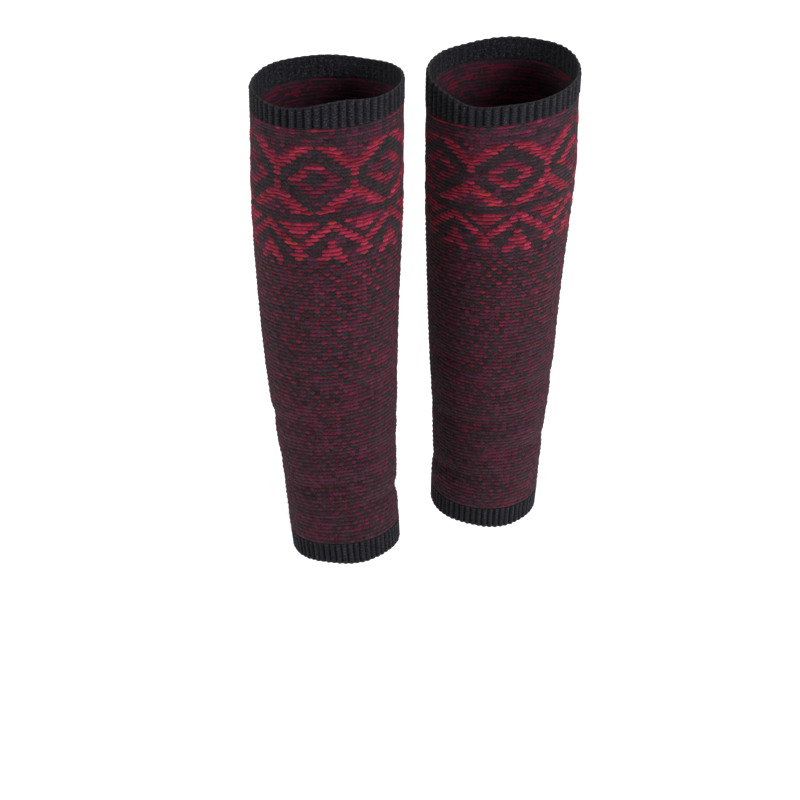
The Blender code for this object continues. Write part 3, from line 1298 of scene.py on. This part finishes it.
@dataclass(frozen=True)
class RibCuff:
    """A cuff in a one-by-one rib, from its seam to its rounded free edge."""

    form: LegForm
    wool: WoolColours
    name: str
    seam_drop: float
    free_drop: float
    steps_a_rib: int = 8
    courses: int = 7
    steps_a_course: int = 4
    lip_rows: int = 5
    inner_rows: int = 11
    crest: float = 0.8
    valley: float = -1.2
    course_depth: float = 0.55
    lip_length: float = 1.6
    slant: float = 0.55
    unevenness: float = 0.22
    groove_depth: float = 0.16
    groove_width: float = 0.09
    lip_sink: float = 0.2
    back_relief: float = 0.35
    rib_power: float = 1.2
    course_power: float = 0.7
    crest_limits: tuple[float, float] = (-0.5, 0.3)
    valley_limits: tuple[float, float] = (-0.4, 0.5)
    # The loft that sets the painted shade: the height above the valley at which it is full, what a
    # course's groove takes off it, and its set values on the lip and the inside
    full_loft: float = 1.9
    groove_loss: float = 0.4
    lip_shade_loft: float = 0.75
    back_shade_loft: float = 0.60
    # How far the brightness and the tint of the yarn scatter, and the limits of both together
    shade_spread: float = 0.32
    tint_spread: float = 0.07
    shade_limits: tuple[float, float] = (0.5, 1.6)
    marl: float = 0.45

    def rib_height(self, place: np.ndarray) -> np.ndarray:
        """Gives the height across a rib: a crest that falls off steeply to a narrow valley, with
        a fine groove down its middle.

        Args:
            place: The place in a rib's pitch, from -0.5 to 0.5 with the crest at 0.

        Returns:
            Millimetres outwards, with a crest and valleys of each rib's own.
        """
        rise = np.cos(math.pi * place) ** self.rib_power
        groove = self.groove_depth * np.exp(-((place / self.groove_width) ** 2))
        crest, valley = seeded(self.name).normal(0.0, self.unevenness, (2, RIBS))
        own_crest = np.roll(np.repeat(crest, self.steps_a_rib), -self.steps_a_rib // 2)
        own_valley = np.repeat(valley, self.steps_a_rib)
        own_crest = np.clip(own_crest, *self.crest_limits)
        own_valley = np.clip(own_valley, *self.valley_limits)
        own = own_crest * rise + own_valley * (1 - rise)
        return self.valley + (self.crest - self.valley) * rise - groove + own

    def hung(self, drop: np.ndarray, angle: np.ndarray) -> np.ndarray:
        """Moves levels down by how far the knit hangs there; the hem has slow waves instead."""
        at_hem = np.clip((drop - TOTAL_LENGTH) / CUFF_LENGTH + 1.0, 0.0, 1.0)
        return drop + self.form.hang(drop, angle) + waved(HEM_WAVES, drop, angle) * at_hem

    def build(self) -> bpy.types.Object:
        """Knits the cuff as one closed wall of rings: down the outside, over the lip, back inside.

        The courses are sines down the cuff, and each rib's row of points is moved into a V. The
        lip is half an ellipse from the outside to the inside. The faces of the last ring close the
        wall at the seam.

        Returns:
            The piece.
        """
        columns = RIBS * self.steps_a_rib
        rib = np.arange(columns)[None, :] / self.steps_a_rib
        place = (rib + 0.5) % 1.0 - 0.5
        angle = TURN * rib / RIBS
        rows = self.courses * self.steps_a_course
        inwards = math.copysign(1.0, self.seam_drop - self.free_drop)
        lip_start = self.free_drop + inwards * self.lip_length
        down = np.linspace(0.0, 1.0, rows + 1)[:, None]
        ends = np.clip(np.minimum(down, 1 - down) * self.courses, 0.0, 1.0)
        course_length = abs(lip_start - self.seam_drop) / self.courses
        level = self.seam_drop + (lip_start - self.seam_drop) * down
        slanted = level + self.slant * course_length * (0.5 - 2 * np.abs(place)) * ends
        over = np.abs(np.sin(math.pi * self.courses * down)) ** self.course_power
        ribs = self.rib_height(place)
        height = ribs - self.course_depth * (1 - over) * ends
        # The loft for the painted shade: darker down in the rib valleys and in the courses' grooves
        standing = np.clip((height - self.valley) / self.full_loft, 0, 1)
        standing = standing * (1 - self.groove_loss + self.groove_loss * over)
        lip = np.linspace(0.0, math.pi, self.lip_rows + 2)[1:-1, None]
        rim = ribs - self.lip_sink
        lip_drop = lip_start - inwards * self.lip_length * np.sin(lip)
        lip_height = (rim - KNIT_WALL) / 2 + (rim + KNIT_WALL) / 2 * np.cos(lip)
        back_drop = np.linspace(lip_start, self.seam_drop, self.inner_rows)[:, None]
        back_height = -KNIT_WALL - self.back_relief * np.cos(TURN * place)
        stretches = (
            (slanted, height, standing),
            (lip_drop, lip_height, self.lip_shade_loft),
            (back_drop, back_height, self.back_shade_loft),
        )
        grids = zip(*(np.broadcast_arrays(*stretch) for stretch in stretches))
        drop, offset, loft = (np.concatenate(grid) for grid in grids)
        offset[-1] = -KNIT_WALL
        points = self.form.surface(self.hung(drop, angle), angle, offset)
        rings = len(drop)
        quads = MeshMaker.tube_quads(rings, columns, closed=True)
        if inwards > 0:
            quads = quads[:, ::-1]
        random = seeded(self.name)
        shade = random.normal(1.0, self.shade_spread, (rings, columns, 1))
        shade = shade + random.normal(0.0, self.tint_spread, (rings, columns, 3))
        colour = np.array(self.wool.cuff) * np.clip(shade, *self.shade_limits)
        flat = np.arange(len(quads)) >= len(quads) - columns
        around, along = unwrapped(quads % columns, columns), unwrapped(quads // columns, rings)
        uv = np.stack((around / columns, along / rings), axis=-1).reshape(-1, 2)
        return MeshMaker.build(
            self.name,
            points.reshape(-1, 3),
            [quads],
            uv,
            colour.reshape(-1, 3),
            loft.ravel(),
            np.full(loft.size, self.marl),
            flat,
        )


@dataclass(frozen=True)
class Fuzz:
    """Loose fibres that stand off the knit, thin closed three-sided spikes; sizes in mm."""

    form: LegForm
    name: str
    first: float
    last: float
    count: int
    radius: float = 0.08
    reach: float = 3.6
    sweep: float = 4.0
    foot_depth: float = 0.3
    least_rise: float = 0.6

    def build(self, colours: np.ndarray) -> bpy.types.Object:
        """Makes the fibres at random places.

        A fibre's foot is a triangle just inside the knit, and its tip lies outwards by its reach
        and aside by its sweep.

        Args:
            colours: A grid of linear colours over the stretch, down and round from the front.

        Returns:
            The piece.
        """
        random = seeded(self.name)
        place = random.random((2, self.count))
        drop = self.first + (self.last - self.first) * place[0]
        angle = TURN * place[1]
        half = self.form.column("width", drop) / 2
        base = self.form.softness(drop, angle) - self.foot_depth
        drop = drop + self.form.hang(drop, angle)
        foot = TURN * np.arange(3)[:, None] / 3
        feet = self.form.surface(
            drop + self.radius * np.cos(foot), angle + self.radius * np.sin(foot) / half, base
        )
        down, aside = random.normal(0.0, self.sweep / 2, (2, self.count))
        rise = self.least_rise + self.reach * random.random(self.count) ** 2
        tip = self.form.surface(drop + down, angle + aside / half, base + rise)
        points = np.concatenate((feet, tip[None])).reshape(-1, 3)
        corner = np.array(((0, 1, 3), (1, 2, 3), (2, 0, 3), (2, 1, 0)))
        faces = (corner[:, None] * self.count + np.arange(self.count)[:, None]).reshape(-1, 3)
        row, column = (place * np.array(colours.shape[:2])[:, None]).astype(int)
        colour = np.tile(colours[row, column], (len(corner), 1))
        return MeshMaker.build(
            self.name,
            points,
            [faces],
            np.zeros((faces.size, 2)),
            colour,
            np.ones(len(points)),
            np.zeros(len(points)),
            np.zeros(len(faces), dtype=bool),
        )


@dataclass(frozen=True)
class LegWarmer:
    """One leg warmer: its body, its two cuffs, their fuzz and their finishes."""

    form: LegForm
    chart: YarnChart
    phase: float
    wool: WoolColours = WoolColours()
    stitch: Stitch = Stitch()
    fibres_a_mm: float = 27.0
    cuff_fuzz_gain: float = 1.6

    def girth(self, first: float, last: float) -> float:
        """Measures the knit round its outside, in metres, as the mean over a stretch of the leg.

        The rule is pi times the mean of width and depth, which is close for a near circle.

        Args:
            first: Where the stretch starts, in mm below the rim.
            last: Where it ends.

        Returns:
            Metres.
        """
        drop = np.linspace(first, last, 50)
        across = (self.form.column("width", drop) + self.form.column("depth", drop)) / 2
        return float(math.pi * across.mean() * MM)

    def dress(
        self,
        piece: bpy.types.Object,
        finish: WoolFinish,
        node: str,
        span: tuple[float, float],
        fuzz_colours: np.ndarray,
    ) -> None:
        """Gives a piece its material, its fuzz and its body, hides the CAD node that it stands for, and
        works out its flat size.

        Args:
            piece: The piece.
            finish: Its finish.
            node: The CAD node that it replaces.
            span: Where it starts and ends, in mm below the rim.
            fuzz_colours: A grid of linear colours over the piece.
        """
        first, last = span
        count = round((last - first) * self.fibres_a_mm)
        fuzz = Fuzz(self.form, f"{piece.name}_fuzz", first, last, count).build(fuzz_colours)
        material = finish.material()
        for part in (piece, fuzz):
            part.data.materials.append(material)
            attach(part, BODY)
            LOG.info("%s: %d faces", part.name, len(part.data.polygons))
        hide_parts(node)
        flat = (self.girth(first, last), (last - first) * MM)

    def build(self) -> None:
        """Makes the body and the cuffs and dresses them."""
        name = self.form.name
        knit = WoolFinish(f"{name} jacquard wool", WALES, COURSES)
        rib = WoolFinish(
            f"{name} rib wool",
            2 * RIBS,
            2 * RibCuff.courses,
            crease_shade=0.86,
            fibre_contrast=1.3,
            marl_colour=self.wool.cuff_fleck,
        )
        body = JacquardBody(self.form, self.chart, self.wool, self.stitch, self.phase)
        seam = CUFF_LENGTH + BODY_LENGTH
        split = CUFF_LENGTH + BODY_LENGTH * body.split_course / COURSES
        charted = self.chart.stitches()
        colours = np.roll(self.chart.colours(charted, self.wool, 1), round(self.phase), axis=1)
        spans = ((CUFF_LENGTH, split), (split, seam))
        parts = (colours[: body.split_course], colours[body.split_course :])
        for piece, span, part in zip(body.build(charted), spans, parts):
            self.dress(piece, knit, f"{name}_body", span, part)
        plain = np.full((1, 1, 3), self.wool.cuff) * self.cuff_fuzz_gain
        top = RibCuff(self.form, self.wool, f"{name}_top_rib", CUFF_LENGTH - SEAM_GAP / 2, 0.0)
        hem = RibCuff(self.form, self.wool, f"{name}_bottom_rib", seam + SEAM_GAP / 2, TOTAL_LENGTH)
        cuffs = ((top, "top_cuff", (0.0, CUFF_LENGTH)), (hem, "bottom_cuff", (seam, TOTAL_LENGTH)))
        for cuff, node, span in cuffs:
            self.dress(cuff.build(), rib, f"{name}_{node}", span, plain)


@dataclass(frozen=True)
class AreaLamp:
    """A soft square lamp: its place and aim in metres, its side and its power."""

    name: str
    place: Place
    aim: Place
    side: float
    watts: float

    def build(self) -> None:
        """Adds the lamp to the scene, turned to its aim."""
        data = bpy.data.lights.new(self.name, "AREA")
        data.size = self.side
        data.energy = self.watts
        lamp = bpy.data.objects.new(self.name, data)
        lamp.location = self.place
        aim = np.array(self.aim) - np.array(self.place)
        flat = math.hypot(aim[0], aim[1])
        lamp.rotation_euler = (math.atan2(flat, -aim[2]), 0.0, math.atan2(-aim[0], aim[1]))
        bpy.context.scene.collection.objects.link(lamp)


@dataclass(frozen=True)
class Studio:
    """The pale floor, the soft light and the camera."""

    floor_height: float = -0.47
    floor_side: float = 12.0
    floor_colour: Colour = (0.86, 0.86, 0.86)
    floor_glow: float = 0.47
    sky_strength: float = 0.15
    camera_place: Place = (-0.0119, -2.132, 0.86145)
    camera_tilt: float = 62.16
    focal_length: float = 138.5

    def build(self) -> None:
        """Makes the stage."""
        self.floor()
        self.light()
        self.camera()
        bpy.context.scene.view_settings.view_transform = "Standard"

    def floor(self) -> None:
        """Lays a plain matt floor under the pair."""
        half = self.floor_side / 2
        corners = [(-half, -half), (half, -half), (half, half), (-half, half)]
        mesh = bpy.data.meshes.new("floor")
        mesh.from_pydata([(x, y, self.floor_height) for x, y in corners], [], [(0, 1, 2, 3)])
        material = bpy.data.materials.new("pale floor")
        material.use_nodes = True
        shader = material.node_tree.nodes["Principled BSDF"]
        shader.inputs["Base Color"].default_value = (*self.floor_colour, 1.0)
        shader.inputs["Roughness"].default_value = 1.0
        shader.inputs["Specular IOR Level"].default_value = 0.0
        shader.inputs["Emission Color"].default_value = (1.0, 1.0, 1.0, 1.0)
        shader.inputs["Emission Strength"].default_value = self.floor_glow
        mesh.materials.append(material)
        floor = bpy.data.objects.new("floor", mesh)
        bpy.context.scene.collection.objects.link(floor)

    def light(self) -> None:
        """Sets the lamps and an even white sky."""
        # name, place, aim, side, watts
        lamps = (
            AreaLamp("key", (1.45, -1.25, 0.8), (0.0, 0.0, -0.12), 0.7, 38.0),
            AreaLamp("fill", (-2.05, -0.5, 0.5), (-0.05, 0.0, -0.12), 0.6, 18.0),
            AreaLamp("top", (0.0, 0.3, 2.4), (0.0, 0.0, -0.47), 2.4, 26.0),
            AreaLamp("back", (0.5, 2.1, 0.9), (0.0, 0.0, -0.15), 1.0, 16.0),
        )
        for lamp in lamps:
            lamp.build()
        world = bpy.data.worlds.new("white studio")
        world.use_nodes = True
        sky = world.node_tree.nodes["Background"]
        sky.inputs["Color"].default_value = (1.0, 1.0, 1.0, 1.0)
        sky.inputs["Strength"].default_value = self.sky_strength
        bpy.context.scene.world = world

    def camera(self) -> None:
        """Sets the camera in front and above, tilted down."""
        data = bpy.data.cameras.new("camera")
        data.sensor_width = 36.0
        data.lens = self.focal_length
        camera = bpy.data.objects.new("camera", data)
        camera.location = self.camera_place
        camera.rotation_euler = (math.radians(self.camera_tilt), 0.0, 0.0)
        bpy.context.scene.collection.objects.link(camera)
        bpy.context.scene.camera = camera


def main() -> None:
    """Builds the stage and both leg warmers in order and notes how large they came out."""
    logging.basicConfig(level=logging.INFO, format="%(message)s")
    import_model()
    Studio().build()
    left_chart = YarnChart(seed=11, diamond_wale=-3, zigzag_wale=0, speckle_wale=0)
    right_chart = YarnChart(seed=12, diamond_wale=1, zigzag_wale=3, speckle_wale=1)
    pair = (
        LegWarmer(LEFT_FORM, left_chart, phase=1.15),
        LegWarmer(RIGHT_FORM, right_chart, phase=0.2),
    )
    for leg_warmer in pair:
        leg_warmer.build()


if __name__ == "__main__":
    main()
